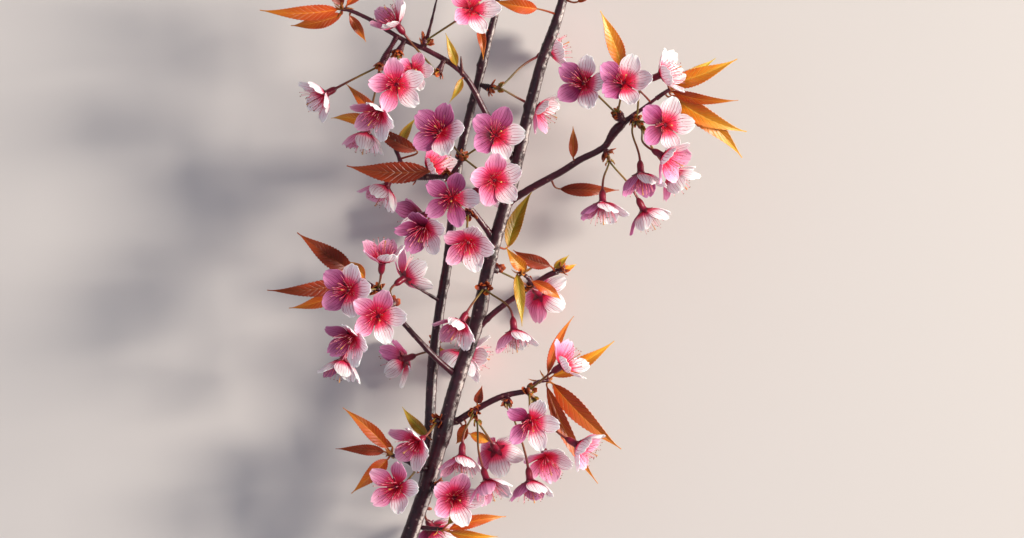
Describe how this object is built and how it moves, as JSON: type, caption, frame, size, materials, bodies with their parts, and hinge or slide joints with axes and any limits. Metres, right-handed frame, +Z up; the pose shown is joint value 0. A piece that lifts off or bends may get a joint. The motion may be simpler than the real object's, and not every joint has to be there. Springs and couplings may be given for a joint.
{
  "type": "flowering cherry branch",
  "caption": "Cut branch of a flowering cherry lying on its side: a slender forked limb with short twigs, full of open pink blossom and young bronze leaves.",
  "frame": {"origin": "on the floor, under the middle of the branch as it lies", "axes": "+Y along the branch from its cut end to its tip, +Z up from the floor, +X to the right of the branch seen from above with its tip away from the viewer"},
  "size_m": [0.2412, 0.3862, 0.1138],
  "materials": {
    "bark": "smooth dark bark",
    "twig_bark": "smooth young bark",
    "leaf": "young leaf, slightly glossy",
    "petal": "satin petal"
  },
  "bodies": {
    "root": {"main_limb": "bark", "back_limb": "bark", "twig_upper_left": "twig_bark", "twig_left": "twig_bark", "twig_mid_left": "twig_bark", "twig_upper_right": "twig_bark", "twig_right": "twig_bark", "twig_lower_right": "twig_bark", "leaves_top": "leaf", "leaves_back_top": "leaf", "leaves_upper_left": "leaf", "leaves_left": "leaf", "leaves_upper_right": "leaf", "leaves_right": "leaf", "leaves_mid_left": "leaf", "leaves_lower_right": "leaf", "leaves_lower_left": "leaf", "leaves_low": "leaf", "bloom_upper_left_1": "petal", "bloom_upper_left_2": "petal", "bloom_upper_left_3": "petal", "bloom_upper_left_4": "petal", "bloom_upper_left_5": "petal", "bloom_upper_left_6": "petal", "bloom_left_1": "petal", "bloom_left_2": "petal", "bloom_left_3": "petal", "bloom_left_4": "petal", "bloom_left_5": "petal", "bloom_left_6": "petal", "bloom_left_7": "petal", "bloom_upper_right_1": "petal", "bloom_upper_right_2": "petal", "bloom_upper_right_3": "petal", "bloom_upper_right_4": "petal", "bloom_upper_right_5": "petal", "bloom_upper_right_6": "petal", "bloom_upper_right_7": "petal", "bloom_mid_left_1": "petal", "bloom_mid_left_2": "petal", "bloom_mid_left_3": "petal", "bloom_mid_left_4": "petal", "bloom_mid_left_5": "petal", "bloom_centre_1": "petal", "bloom_centre_2": "petal", "bloom_centre_3": "petal", "bloom_lower_left_1": "petal", "bloom_lower_left_2": "petal", "bloom_lower_left_3": "petal", "bloom_lower_left_4": "petal", "bloom_lower_right_1": "petal", "bloom_lower_right_2": "petal", "bloom_lower_right_3": "petal", "bloom_lower_right_4": "petal", "bloom_lower_right_5": "petal", "bloom_lower_right_6": "petal", "bloom_back_1": "petal", "bloom_back_2": "petal", "bloom_back_3": "petal", "bloom_back_4": "petal"}
  },
  "joints": []
}
